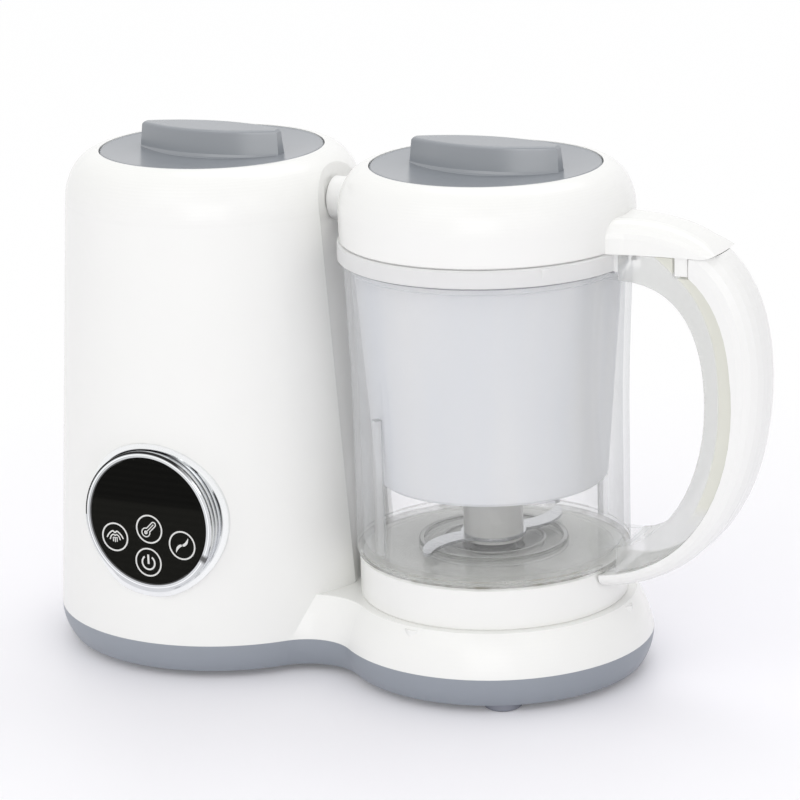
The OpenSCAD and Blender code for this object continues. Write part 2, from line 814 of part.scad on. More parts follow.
dog_n = 6;
dog_r = 5.3;
dog_z = jug_z + 0.8;
pocket_r = 8.2;
pocket_h = 11;
module dog_outline(grow) {
    circle(r = dog_r * 0.7 + grow);
    for (i = [0 : dog_n - 1])
        rotate(i * 360 / dog_n) translate([0, -0.9 - grow]) square([dog_r + grow, 1.8 + 2 * grow]);
}
module spindle() {
    color(steel)
        at_jug() {
            post(spindle_r, tub_floor_z + 1, block_top_z + 0.6);
            post(shaft_r, block_top_z, jug_z + 5);
        }
}
module drive_coupling() {
    color(dark)
        at_jug()
            difference() {
                union() {
                    post(9, block_top_z + 0.7, seat_top_z - 0.2);
                    translate([0, 0, seat_top_z - 0.5]) linear_extrude(jug_z + 8 - seat_top_z)
                        dog_outline(0);
                }
                post(shaft_r + 0.02, block_top_z, jug_z + 5.1);
            }
}
blade_shaft_r = 3;
module driven_coupling() {
    color(dark)
        at_jug()
            difference() {
                post(pocket_r - 0.4, dog_z, jug_z + pocket_h - 0.5);
                translate([0, 0, dog_z - 1]) linear_extrude(9.2) dog_outline(0.3);
                post(blade_shaft_r + 0.02, jug_z, jug_z + pocket_h);
            }
}

// ---------- Jug ----------

boss_r = 9.8;
boss_top_z = jug_z + 25.5;
bush_r = 6;
bush_z = jug_z + pocket_h;
bush_l = 12;
rib_angles = [52, 232];
jug_flare_z = jug_z + 58;
ledge_h = 10;
basket_rim_r = jug_top_r - 1.9;
function jug_r_at(z) = z < jug_flare_z ? jug_r
    : lerp(jug_r, jug_top_r, pow((z - jug_flare_z) / (band_z - jug_flare_z), 1.4));
jug_wall_curve = [for (i = [0 : arc_n]) let (z = lerp(jug_flare_z, band_z, i / arc_n)) [jug_r_at(z), z]];

// Side of the handle seen from the front: control points of its inner and outer curves
inner_top = [[58, 159.8], [83.1, 159.8], [finger_reach, 139.7], [finger_reach, 114.3]];
inner_low = [[finger_reach, 114.3], [finger_reach, 85.6], [75.9, 56.8], [52, 56.8]];
outer_top = [[61, 182.6], [103.3, 182.6], [handle_reach, 151.9], [handle_reach, 123.8]];
outer_low = [[handle_reach, 123.8], [handle_reach, 72.1], [83.7, 40.9], [50, 40.9]];
handle_n = 14;
// k is 0 on the inner curve and 1 on the outer one; u runs from 0 at the top to 2 at the foot
function handle_point(k, u) = u < 1
    ? bezier([for (i = [0 : 3]) lerp(inner_top[i], outer_top[i], k)], u)
    : bezier([for (i = [0 : 3]) lerp(inner_low[i], outer_low[i], k)], u - 1);
// Where the seam between core and shell lies, between the inner and the outer curve
function seam_k(u) = core_share + core_growth * max(0, u - 0.9);
shell_top_x = 85.4;
core_w = handle_w - 2;
notch_x = shell_top_x - 5.6;
notch_z = jug_rim_z - tongue_h - 0.6;
function reversed(list) = [for (i = [len(list) - 1 : -1 : 0]) list[i]];

module handle_core() {
    us = [for (i = [0 : 2 * handle_n]) i / handle_n];
    mid = [for (u = us) let (p = handle_point(seam_k(u) - 0.015, u))
        if (p[1] < notch_z && p[0] > jug_r - 0.6) p];
    inner = [for (u = us) let (p = handle_point(0, u)) if (p[0] > jug_r - 0.6) p];
    at_jug()
        translate([0, core_w / 2, 0])
            rotate([90, 0, 0])
                linear_extrude(core_w)
                    polygon(concat([[jug_r - 0.8, inner[0][1]]], inner,
                        [[jug_r - 0.8, inner[len(inner) - 1][1]], [jug_r - 0.8, mid[len(mid) - 1][1]]],
                            reversed(mid),
                        [[shell_top_x - seat_gap, notch_z], [shell_top_x - seat_gap, jug_rim_z - 0.2],
                            [jug_r - 0.8, jug_rim_z - 0.2]]));
    // The core spreads with the shell where its foot meets the jug, and stays above the seat there
    at_jug()
        bar_loft([for (j = [0 : 8])
            let (u = min(2, 1.5 + j / handle_n), a = handle_point(0.01, u),
                b = handle_point(seam_k(u) - 0.03, u),
                low_z = j < 7 ? b[1] : max(b[1], jug_z + 0.3), inward = j < 8 ? 0 : 5)
            [a - [inward, 0], [b[0] - inward, low_z], handle_half_w(u) - 1, 1]]);
}
module jug_bowl() {
    inner_r = jug_r - jug_wall;
    floor_z = jug_z + jug_floor;
    bore_r = basket_rim_r + lift_gap;
    step_z = jug_rim_z - ledge_h;
    tab_angle = -44;
    color(clear) {
        difference() {
            union() {
                at_jug()
                    rotate_extrude()
                        polygon(concat([[0, jug_z], [jug_r - 1.2, jug_z], [jug_r - 0.4, jug_z + 0.5],
                            [jug_r, jug_z + 1.6]],
                            jug_wall_curve,
                                [[rim_r - 0.6, band_z], [rim_r, band_z + 0.6], [rim_r, jug_rim_z - 0.6],
                                [rim_r - 0.6, jug_rim_z], [0, jug_rim_z]]));
                handle_core();
                at_jug() rotate(tab_angle) translate([rim_r - 0.6, -1.5, jug_rim_z - 4])
                    cube([1.2, 3, 3.6]);
            }
            // Inside of the jug, with the step that carries the basket
            at_jug()
                difference() {
                    rotate_extrude()
                        polygon(concat([[0, floor_z], [inner_r - 2.5, floor_z],
                            [inner_r - 0.7, floor_z + 0.8],
                                [inner_r, floor_z + 2.6]],
                            [for (p = jug_wall_curve) if (p[1] < step_z) [p[0] - jug_wall, p[1]]],
                            [[jug_r_at(step_z) - jug_wall, step_z], [bore_r, step_z],
                                [bore_r, jug_rim_z + 1],
                                [0, jug_rim_z + 1]]));
                    // What stands in the bowl: the shaft's boss, the floor's raised rings and two ribs
                    post(boss_r, jug_z, boss_top_z);
                    ring(28.8, 27, jug_z, floor_z + 1.3);
                    ring(20.5, 19.3, jug_z, floor_z + 0.7);
                    for (a = rib_angles)
                        rotate(a) translate([inner_r - 3.2, -1.6, jug_z]) cube([8, 3.2, rib_h]);
                }
            at_jug() {
                post(pocket_r, jug_z - 1, bush_z);
                post(bush_r, jug_z, bush_z + bush_l);
                post(blade_shaft_r + 1.2, jug_z, boss_top_z + 1);
                post(bush_r, boss_top_z - 2.2, boss_top_z + 1);
                // Shallow hollow under the floor
                ring(inner_r - 4, boss_r + 2, jug_z - 1, jug_z + 0.8);
            }
            // Notch for the lid's tongue, open to the front and to the top
            at_jug() translate([notch_x - 0.9, -handle_w, notch_z])
                cube([shell_top_x - notch_x + 1.4, handle_w + 3, tongue_h + 5]);
        }
    }
}

// Half width of the handle: it spreads where its foot meets the jug
foot_spread = 4.5;
function handle_half_w(u) = handle_w / 2 + (u > 1.55 ? foot_spread * pow((u - 1.55) / 0.45, 2) : 0);
corner_n = 5;
shell_corner = 9.5;

// A bar with a flat inner side and two rounded outer corners.
// A station holds the middles of its inner and its outer side, half its width and its corner radius.
module bar_loft(stations) {
    ring_n = 2 * corner_n + 4;
    n = len(stations) - 1;
    points = [for (s = stations)
        let (a = s[0], deep = norm(s[1] - a), dir = (s[1] - a) / deep, half = s[2],
            c = min(s[3], deep - 0.3))
        for (q = concat([[half, 0]],
            [for (i = [0 : corner_n]) let (t = 90 * i / corner_n) [half - c + c * cos(t),
                deep - c + c * sin(t)]],
            [for (i = [0 : corner_n]) let (t = 90 + 90 * i / corner_n) [c - half + c * cos(t),
                deep - c + c * sin(t)]],
            [[-half, 0]]))
            [a[0] + dir[0] * q[1], q[0], a[1] + dir[1] * q[1]]];
    sides = [for (j = [0 : n - 1], i = [0 : ring_n - 1])
        let (next = (i + 1) % ring_n)
        [(j + 1) * ring_n + i, (j + 1) * ring_n + next, j * ring_n + next, j * ring_n + i]];
    caps = [[for (i = [0 : ring_n - 1]) i], [for (i = [ring_n - 1 : -1 : 0]) n * ring_n + i]];
    polyhedron(points = points, faces = concat(sides, caps), convexity = 6);
}
// The shell's outside from u0 to u1; with off, its inside, which starts dk deeper than the seam
module shell_loft(u0, u1, n, dk, off) {
    bar_loft([for (j = [0 : n])
        let (u = lerp(u0, u1, j / n), a = handle_point(seam_k(u) - dk, u), b = handle_point(1, u),
            dir = (b - a) / norm(b - a))
        [a, b - off * dir, handle_half_w(u) - off, shell_corner - off]]);
}
nose_d = 90;
// Everything above the arm's underside: flat, then turning up round the nose
module nose_cut(gap) {
    z = lid_z - gap;
    rotate_extrude()
        polygon(concat([[0, z], [nose_d, z]],
            [for (i = [1 : arc_n]) let (t = 85 * i / arc_n) [nose_d + (nose_r + gap) * sin(t),
                z + nose_r + gap - (nose_r + gap) * cos(t)]],
            [[nose_d + nose_r + gap, lid_z + 40], [0, lid_z + 40]]));
}
module handle_shell() {
    color(white)
        at_jug()
            difference() {
                shell_loft(0.2, 2, 28, 0, 0);
                shell_loft(0.32, 1.93, 24, 0.04, handle_wall);
                nose_cut(0.25);
                translate([0, -50, notch_z]) cube([shell_top_x, 100, 60]);
                post(jug_r + 0.05, 0, jug_rim_z);
            }
}

module blade_bushing() {
    color([0.72, 0.6, 0.4])
        at_jug()
            difference() {
                post(bush_r - 0.02, bush_z, bush_z + bush_l);
                post(blade_shaft_r + run_gap, bush_z - 1, bush_z + bush_l + 1);
            }
}
module shaft_seal() {
    color(dark)
        at_jug()
            difference() {
                post(bush_r - 0.05, boss_top_z - 2.2, boss_top_z);
                post(blade_shaft_r + run_gap, boss_top_z - 3, boss_top_z + 1);
            }
}
hub_top_z = jug_z + 39;
module blade_shaft() {
    color(steel) at_jug() post(blade_shaft_r, dog_z + 8.4, hub_top_z - 4);
}
module blade_hub() {
    skirt = 1.3;
    color([0.82, 0.82, 0.80])
        at_jug()
            rotate_extrude()
                polygon(concat([[hub_r - skirt, jug_z + jug_floor + 0.7],
                    [hub_r, jug_z + jug_floor + 0.7]],
                    [for (i = [0 : 5]) let (t = 18 * i) [hub_r - 4 + 4 * cos(t),
                        hub_top_z - 4 + 4 * sin(t)]],
                    [[0, hub_top_z], [0, hub_top_z - 4], [blade_shaft_r + 0.02, hub_top_z - 4],
                        [blade_shaft_r + 0.02, boss_top_z + 1.5], [hub_r - skirt, boss_top_z + 1.5]]));
}
blade_t = 1.2;
// Two curved blades in one plate: a sickle outline turned half round for the second
module blade_plate(tip_r, width, z) {
    translate([0, 0, z])
        linear_extrude(blade_t)
            difference() {
                union() {
                    circle(r = hub_r + 1);
                    for (a = [0, 180])
                        rotate(a)
                            intersection() {
                                translate([tip_r * 0.5, tip_r * 0.36]) circle(r = tip_r * 0.62);
                                difference() {
                                    translate([0, 2 - width - tip_r]) square([tip_r, width + tip_r]);
                                    translate([tip_r * 0.62, tip_r * 0.52 + width * 0.25])
                                        circle(r = tip_r * 0.62);
                                }
                            }
                }
                circle(r = hub_r + 0.02);
            }
}
module lower_blade() { color(steel) at_jug() rotate(250) blade_plate(low_blade_r, 9,
    jug_z + jug_floor + 2.2); }
module upper_blade() { color(steel) at_jug() rotate(-27) blade_plate(high_blade_r, 10, basket_z - 3.6); }

// ---------- Basket, lid and cap ----------

module steam_basket() {
    rim_z = jug_rim_z - ledge_h + 0.3;
    slot_n = 20;
    well_r = hub_r + 3.5;
    well_top_z = hub_top_z + 8;
    top_r = jug_r_at(rim_z) - jug_wall - 1.3;
    color(milky)
        at_jug()
            difference() {
                rotate_extrude()
                    polygon([[0, well_top_z - basket_wall],
                        [well_r - basket_wall - 2, well_top_z - basket_wall],
                        [well_r - basket_wall, well_top_z - basket_wall - 2],
                            [well_r - basket_wall, basket_z],
                        [basket_r - 1.2, basket_z], [basket_r, basket_z + 1.2], [top_r, rim_z],
                        [basket_rim_r, rim_z], [basket_rim_r, rim_z + 1.8],
                            [top_r - basket_wall, rim_z + 1.8],
                        [basket_r - basket_wall, basket_z + basket_wall],
                            [well_r, basket_z + basket_wall],
                        [well_r, well_top_z - 2], [well_r - 2, well_top_z], [0, well_top_z]]);
                for (i = [0 : slot_n - 1])
                    rotate((i + 0.5) * 360 / slot_n)
                        translate([well_r + 4, -1, basket_z - 1])
                            cube([basket_r - well_r - 9, 2, basket_wall + 2]);
            }
}

plug_r = basket_rim_r - 1.7;
plug_z = jug_rim_z - ledge_h + 3;
seal_z = jug_rim_z - 3;
module lid_seal() {
    lip_r = 0.8;
    color([0.75, 0.76, 0.78])
        at_jug()
            rotate_extrude()
                translate([plug_r + lip_r - 0.72, seal_z]) circle(r = lip_r, $fn = 24);
}
lid_round_h = 17.3;
lid_round_z = lid_top_z - lid_round_h;
lid_grip_z = lid_top_z - 4.8;
function lid_side(off) = quarter_ellipse(mouth_r, lid_round_z, lid_r - mouth_r - off, lid_round_h - off,
    0, 90, 2 * arc_n);

// Half width and height of the arm at distance x from the jug's axis
function arm_half_w(x) = handle_w / 2 + 3.5 * pow(max(0, 1 - (x - 50) / 26), 2);
arm_top = [for (i = [0 : arc_n]) handle_point(1, 0.4 * i / arc_n)];
module arm_loft() {
    corner = 6.5;
    stations = concat([[44, arm_top[0][1]]], arm_top);
    n = len(stations);
    ring_n = 2 * corner_n + 4;
    base_z = lid_z - 1;
    points = [for (p = stations)
        let (half = arm_half_w(p[0]), c = min(corner, p[1] - base_z - 0.5))
        for (q = concat([[half, base_z]],
            [for (i = [0 : corner_n]) let (t = 90 * i / corner_n) [half - c + c * cos(t),
                p[1] - c + c * sin(t)]],
            [for (i = [0 : corner_n]) let (t = 90 + 90 * i / corner_n) [c - half + c * cos(t),
                p[1] - c + c * sin(t)]],
            [[-half, base_z]]))
            [p[0], q[0], q[1]]];
    sides = [for (j = [0 : n - 2], i = [0 : ring_n - 1])
        let (next = (i + 1) % ring_n)
        [(j + 1) * ring_n + i, (j + 1) * ring_n + next, j * ring_n + next, j * ring_n + i]];
    caps = [[for (i = [0 : ring_n - 1]) i], [for (i = [ring_n - 1 : -1 : 0]) (n - 1) * ring_n + i]];
    polyhedron(points = points, faces = concat(sides, caps), convexity = 4);
}
module jug_lid() {
    steam_port_r = 3.5;
    tongue_w = 8;
    color(white)
        at_jug() {
            difference() {
                union() {
                    rotate_extrude()
                        polygon(concat([[0, lid_z], [lid_r - 0.7, lid_z], [lid_r - 0.2, lid_z + 0.5]],
                            lid_side(0),
                            [[0, lid_top_z]]));
                    intersection() {
                        arm_loft();
                        nose_cut(0);
                    }
                }
                // Hollow of the dome
                rotate_extrude()
                    polygon(concat([[0, lid_z - 1], [plug_r - 2.2, lid_z - 1],
                        [plug_r - 2.2, lid_z + 2.4],
                            [lid_r - lid_wall, lid_z + 2.4]],
                        [for (p = lid_side(lid_wall)) if (p[1] < lid_grip_z - lid_wall) p],
                        [[0, lid_grip_z - lid_wall]]));
                post(mouth_r, lid_grip_z, lid_top_z + 1);
                translate([-lid_r - 2, 0, nozzle_z - 3]) rotate([0, 90, 0])
                    cylinder(r = steam_port_r, h = 8);
            }
            // Plug that reaches into the jug, with the seal's groove
            rotate_extrude()
                polygon([[plug_r - 2.2, plug_z], [plug_r - 0.6, plug_z], [plug_r, plug_z + 0.8],
                    [plug_r, seal_z - 0.95], [plug_r - 0.8, seal_z - 0.95], [plug_r - 0.8, seal_z + 0.95],
                    [plug_r, seal_z + 0.95], [plug_r, lid_z + 0.1], [plug_r - 2.2, lid_z + 0.1]]);
            translate([notch_x, -core_w / 2, lid_z - tongue_h])
                cube([shell_top_x - notch_x - 0.6, tongue_w, tongue_h + 0.5]);
        }
}
function dish_z(r) = -plate_dish * (1 - pow(r / plate_r, 2));
// A dished plate with its leaf-shaped grip; the plate's edge is at height 0
module grip_plate(under) {
    dish_n = 8;
    half_w = grip_w / 2;
    cut = (grip_w - grip_end_w) / 2;
    leaf_r = (grip_half_l * grip_half_l + cut * cut) / (2 * cut);
    edge_r = 1.2;
    draft = 0.9;
    top = grip_h - plate_dish;
    rotate_extrude()
        polygon(concat([[0, -under], [plate_r, -under], [plate_r, -0.5], [plate_r - 0.5, 0]],
            [for (i = [dish_n : -1 : 0]) let (r = (plate_r - 1.3) * i / dish_n) [r, dish_z(r) - 0.1]]));
    intersection() {
        intersection() {
            translate([0, leaf_r - half_w, 0]) leaf_side(leaf_r, top, edge_r, draft);
            translate([0, half_w - leaf_r, 0]) leaf_side(leaf_r, top, edge_r, draft);
        }
        translate([0, grip_w, 0])
            rotate([90, 0, 0])
                linear_extrude(2 * grip_w)
                    polygon([[-grip_half_l - 0.5, -3], [grip_half_l + 0.5, -3],
                        [grip_half_l - 0.3, top - 1], [grip_half_l - 1.3, top],
                        [1.3 - grip_half_l, top], [0.3 - grip_half_l, top - 1]]);
    }
}
module leaf_side(r, top, edge_r, draft) {
    foot = 1.6;
    rotate_extrude($fn = 200)
        polygon(concat([[0, -3], [r + foot, -3], [r + foot, -plate_dish],
            [r + foot * 0.35, foot * 0.4 - plate_dish], [r, foot - plate_dish]],
            [for (i = [0 : 4]) let (t = 22.5 * i) [r - draft - edge_r + edge_r * cos(t),
                top - edge_r + edge_r * sin(t)]],
            [[0, top]]));
}
module lid_grip() { color(grey) at_jug() translate([0, 0, lid_top_z])
    grip_plate(lid_top_z - lid_grip_z); }
module lid_magnet() {
    color(steel)
        at_jug()
            rotate(165)
                translate([lid_r - lid_wall - 2.5, 0, nozzle_z])
                    rotate([0, 90, 0]) cylinder(r = 3.5, h = 2.3);
}

cap_skirt_r = tank_r - tank_wall - 1.1;
cap_seal_z = ledge_z - 6;
module tank_cap() {
    skirt_h = 11;
    color(grey)
        at_tower() {
            translate([0, 0, tower_top_z]) grip_plate(tower_top_z - ledge_z - lift_gap);
            rotate_extrude()
                polygon([[cap_skirt_r - 2.4, ledge_z - skirt_h], [cap_skirt_r - 0.6, ledge_z - skirt_h],
                    [cap_skirt_r, ledge_z - skirt_h + 0.8], [cap_skirt_r, cap_seal_z - 1.3],
                    [cap_skirt_r - 1.3, cap_seal_z - 1.3], [cap_skirt_r - 1.3, cap_seal_z + 1.3],
                    [cap_skirt_r, cap_seal_z + 1.3], [cap_skirt_r, ledge_z + 0.5],
                        [cap_skirt_r - 2.4, ledge_z + 0.5]]);
        }
}
module tank_cap_seal() {
    ring_r = 1.05;
    color(dark)
        at_tower()
            rotate_extrude()
                translate([cap_skirt_r - 1.3 + ring_r + run_gap, cap_seal_z])
                    circle(r = ring_r, $fn = 24);
}

base_tub();
rubber_feet();
base_screws();
housing();
jug_seat();
seat_screws();
display_bezel();
touch_panel();
control_board();
power_board();
motor_bracket();
motor_screws();
motor_can();
motor_magnets();
drive_belt();
spindle_block();
spindle_bearings();
boiler_shelf();
boiler();
boiler_heater();
thermostat();
boiler_seal();
water_tank();
steam_hose();
steam_nozzle();
lid_sensor();
cord_gland();
armature();
motor_pulley();
spindle();
driven_pulley();
drive_coupling();
jug_bowl();
handle_shell();
blade_bushing();
shaft_seal();
blade_hub();
lower_blade();
upper_blade();
blade_shaft();
driven_coupling();
steam_basket();
lid_seal();
jug_lid();
lid_grip();
lid_magnet();
tank_cap_seal();
tank_cap();
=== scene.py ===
import json
import math
import bpy
import bmesh
from mathutils import Matrix, Vector


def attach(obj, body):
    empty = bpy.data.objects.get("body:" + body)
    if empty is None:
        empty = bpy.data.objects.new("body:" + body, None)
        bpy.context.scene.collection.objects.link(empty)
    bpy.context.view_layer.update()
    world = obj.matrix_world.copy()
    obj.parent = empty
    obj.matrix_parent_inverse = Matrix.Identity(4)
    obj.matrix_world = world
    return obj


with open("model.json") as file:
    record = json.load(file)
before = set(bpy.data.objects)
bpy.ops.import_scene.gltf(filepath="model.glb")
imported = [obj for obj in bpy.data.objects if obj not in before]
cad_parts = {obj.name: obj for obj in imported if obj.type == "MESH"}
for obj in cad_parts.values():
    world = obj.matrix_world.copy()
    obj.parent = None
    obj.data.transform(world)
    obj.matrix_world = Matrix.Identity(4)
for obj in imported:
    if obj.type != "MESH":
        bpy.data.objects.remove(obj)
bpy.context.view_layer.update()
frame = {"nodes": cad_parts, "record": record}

scene = bpy.context.scene
N = frame["nodes"]
MM = 0.001
JUG_X = 36.65 * MM  # the jug's axis
RIB_ANGLE = math.radians(52)  # the line through the jug's two ribs, seen from above
DISPLAY_X, DISPLAY_Z = -78.35 * MM, 63.7 * MM  # the middle of the display
GLASS_Y = -67.2 * MM  # the face of the display's glass
BEZEL_FACE = 67.5  # distance from the tower's axis to the bezel's face, in millimetres


# ---------------------------------------------------------------- node helpers
class Tree:
    """Small builder for the nodes of a material or a world."""

    def __init__(self, tree):
        self.tree = tree

    @classmethod
    def material(cls, name):
        mat = bpy.data.materials.new(name)
        mat.use_nodes = True
        mat.node_tree.nodes.clear()
        t = cls(mat.node_tree)
        t.mat = mat
        t.out = t.node("OutputMaterial")
        t.coord = t.node("TexCoord").outputs["Object"]
        return t

    def node(self, kind, **values):
        """A new node; a name that isn't one of its inputs is set on the node itself."""
        n = self.tree.nodes.new("ShaderNode" + kind)
        for key, value in values.items():
            socket = key.replace("_", " ")
            if socket in n.inputs:
                self.put(n.inputs[socket], value)
            else:
                setattr(n, key, value)
        return n

    def put(self, socket, value):
        """Links a socket to the input, or writes a number or a colour on it."""
        if isinstance(value, bpy.types.NodeSocket):
            self.tree.links.new(value, socket)
        elif socket.type == "RGBA":
            socket.default_value = (*value, 1)
        else:
            socket.default_value = value

    def noise(self, scale, detail=2.0, rough=0.5, vector=None):
        n = self.node("TexNoise", Scale=scale, Detail=detail, Roughness=rough, Vector=vector or self.coord)
        return n.outputs["Fac"]

    def stretched(self, scale):
        """The object coordinates, scaled along each axis."""
        return self.node("Mapping", Vector=self.coord, Scale=scale).outputs["Vector"]

    def split(self):
        """The object coordinates X, Y and Z, in metres."""
        return self.node("SeparateXYZ", Vector=self.coord).outputs

    def span(self, value, lo, hi, a=0.3, b=0.7):
        """The value from a to b, mapped to lo to hi and held there outside; a and b suit noise."""
        n = self.node("MapRange", Value=value, From_Min=a, From_Max=b, To_Min=lo, To_Max=hi)
        return n.outputs["Result"]

    def mix(self, fac, a, b):
        n = self.node("Mix", data_type="RGBA", Factor=fac)
        for name, colour in (("A", a), ("B", b)):
            self.put(next(i for i in n.inputs if i.name == name and i.type == "RGBA"), colour)
        return next(o for o in n.outputs if o.type == "RGBA")

    def bump(self, height, strength, distance):
        return self.node("Bump", Height=height, Strength=strength, Distance=distance).outputs["Normal"]

    def math(self, op, a, b=0.0, c=0.0):
        n = self.node("Math", operation=op)
        for k, value in enumerate((a, b, c)):
            self.put(n.inputs[k], value)
        return n.outputs["Value"]

    def product(self, *values):
        out = values[0]
        for value in values[1:]:
            out = self.math("MULTIPLY", out, value)
        return out

    def largest(self, *values):
        out = values[0]
        for value in values[1:]:
            out = self.math("MAXIMUM", out, value)
        return out

    def within(self, value, low, high, soft):
        """1 between the two values, fading to 0 over the soft width outside them."""
        return self.math("MINIMUM", self.span(value, 0, 1, low - soft, low),
                         self.span(value, 1, 0, high, high + soft))

    def round_axis(self, a, b, origin):
        """Offsets from an axis, the distance to it and the angle round it, in mm and degrees."""
        xyz = self.split()
        u, v = (self.math("SUBTRACT", self.math("DIVIDE", xyz[k], MM), o / MM)
                for k, o in zip((a, b), origin))
        r = self.math("SQRT", self.math("ADD", self.product(u, u), self.product(v, v)))
        turn = self.product(self.math("ARCTAN2", v, u), 180 / math.pi)
        return u, v, r, turn

    def height(self, axis="Z"):
        """One object coordinate in millimetres."""
        return self.math("DIVIDE", self.split()[axis], MM)

    def facing(self, normal):
        """0 where the surface is seen square on, 1 at its outline."""
        return self.node("LayerWeight", Blend=0.5, Normal=normal).outputs["Facing"]

    def blend(self, fac, a, b):
        n = self.node("MixShader", Fac=fac)
        self.put(n.inputs[1], a)
        self.put(n.inputs[2], b)
        return n.outputs["Shader"]

    def bsdf(self, kind, colour, **kw):
        return self.node("Bsdf" + kind, Color=colour, **kw).outputs["BSDF"]

    def principled(self, **kw):
        n = self.node("BsdfPrincipled", **kw)
        self.put(self.out.inputs["Surface"], n.outputs["BSDF"])
        return n.outputs["BSDF"]


# ---------------------------------------------------------------- materials
def plastic(name, colour, shade, rough, grain=900, grain_mm=0.02, coat=0.0, ior=1.5):
    """Moulded plastic: faint flow shading, fine moulded grain and uneven gloss."""
    t = Tree.material(name)
    t.principled(
        Base_Color=t.mix(t.span(t.noise(14, 3), 0, 1), colour, shade),
        Roughness=t.span(t.noise(60, 4), *rough),
        IOR=ior,
        Coat_Weight=coat,
        Coat_Roughness=0.12,
        Normal=t.bump(t.noise(grain, 2), 1.0, grain_mm * MM),
    )
    return t.mat


def metal(name, colour, rough, brushed=(1, 1, 1)):
    """Bare metal: fine lines, drawn out along an axis where it is brushed."""
    t = Tree.material(name)
    lines = t.noise(700, 3, 0.6, t.stretched(brushed))
    t.principled(
        Base_Color=t.mix(lines, [c * 0.92 for c in colour], colour),
        Metallic=1.0,
        Roughness=t.span(lines, *rough),
        Normal=t.bump(lines, 0.5, 0.01 * MM),
    )
    return t.mat


def core_seam(t, z):
    """X of the curved seam between the handle's clear core and its white shell, at each height, in mm."""
    low, high = 60.0, 170.0
    near, far = 80.0, 104.0
    path = [(60, 81), (66.4, 87), (76.9, 93.9), (90.6, 98.7), (102.8, 101.1), (115, 101.8),
            (128.6, 101.3), (137.5, 100), (144.7, 97.8), (152.1, 94.5), (158.6, 90), (162.9, 85.6)]
    seam = t.node("FloatCurve", Value=t.span(z, 0, 1, low, high))
    points = seam.mapping.curves[0].points
    for n, (seam_z, seam_x) in enumerate(path):
        at = ((seam_z - low) / (high - low), (seam_x - near) / (far - near))
        if n < 2:
            points[n].location = at
        else:
            points.new(*at)
    seam.mapping.update()
    return t.math("ADD", t.product(seam.outputs["Value"], far - near), near)


def paint_jug(t, shade, share, wave, streaks):
    """Colour on the clear jug: its rim band, its frosted handle core, an olive haze in its floor, dark lines along
    its thick bottom edge, and painted highlights and painted shade on its floor rings, its ribs and under its rim.
    """
    x, y, radius = t.round_axis("X", "Y", (JUG_X, 0))[:3]
    z = t.height()
    handle_r, rim_z = (58.4, 58.9), (162.6, 163.2)
    handle = t.span(radius, 0, 1, *handle_r)
    rim = t.product(t.span(z, 0, 1, *rim_z), t.span(radius, 1, 0, *handle_r))
    band = t.product(t.span(t.math("SUBTRACT", core_seam(t, z), x), 1, 0, 5.0, 5.9),
                     t.span(z, 0, 1, 68, 76), handle)
    shade = t.mix(handle, shade, t.mix(t.span(wave, 0, 1), (0.80, 0.81, 0.79), (0.74, 0.75, 0.73)))
    share = t.largest(share, t.product(handle, 0.35))
    floor_part = t.span(z, 1, 0, 55.5, 56.5)
    across = t.math("ABSOLUTE", t.math(
        "SUBTRACT", t.product(y, math.cos(RIB_ANGLE)), t.product(x, math.sin(RIB_ANGLE))))
    rib = t.product(t.within(radius, 46.6, 50.2, 0.1), t.within(z, 51.5, 105.6, 0.3))
    broken = t.span(t.noise(1.0, 3, 0.7, streaks), 0.25, 1.0)

    def ring(low, high, soft=0.1):
        return t.product(floor_part, t.within(radius, low, high, soft))

    def edge_line(low, high, inner, soft):
        return t.product(t.within(z, low, high, 0.2), t.within(radius, inner, 54, soft), broken)

    # Rows in order: the band along the core's seam; the pale rim band; a painted dark line at the foot of the rim
    # band; the olive haze in the floor; a painted shadow in the moat round the hub; painted highlights on the tops
    # of the two floor rings; painted shade at the rings' sides; a painted highlight along the ribs' edges; painted
    # shade on their inner side; a painted dark line at their tops; dark lines along the thick bottom edge.
    for mask, tone, cover in (
        (band, (0.83, 0.83, 0.73), 0.75),
        (rim, (0.97, 0.97, 0.965), 0.9),
        (t.product(t.within(z, 162.5, 163.15, 0.2), t.within(radius, 54.6, 57.2, 0.1)), (0.30, 0.30, 0.32), 0.8),
        (t.product(floor_part, t.span(radius, 1, 0, 49.5, 50.2)), (0.70, 0.71, 0.65), 0.16),
        (ring(13.0, 18.6, 0.4), (0.40, 0.41, 0.38), 0.22),
        (ring(27.3, 28.5), (0.93, 0.94, 0.93), 0.5),
        (ring(19.5, 20.3), (0.93, 0.94, 0.93), 0.45),
        (ring(28.6, 29.1), (0.30, 0.31, 0.28), 0.5),
        (ring(26.6, 27.1), (0.36, 0.37, 0.34), 0.45),
        (ring(18.9, 19.4), (0.34, 0.35, 0.32), 0.45),
        (t.product(rib, t.within(across, 1.4, 2.0, 0.1)), (0.95, 0.95, 0.95), 0.3),
        (t.product(rib, t.within(radius, 46.6, 47.9, 0.1)), (0.50, 0.51, 0.51), 0.4),
        (t.product(rib, t.span(z, 0, 1, 104.6, 104.9)), (0.30, 0.31, 0.31), 0.6),
        (edge_line(47.0, 48.3, 50.6, 0.3), (0.20, 0.19, 0.13), 0.92),
        (edge_line(49.5, 50.1, 50.2, 0.2), (0.32, 0.31, 0.24), 0.75),
    ):
        shade = t.mix(mask, shade, tone)
        share = t.largest(share, t.product(mask, cover))
    return shade, share


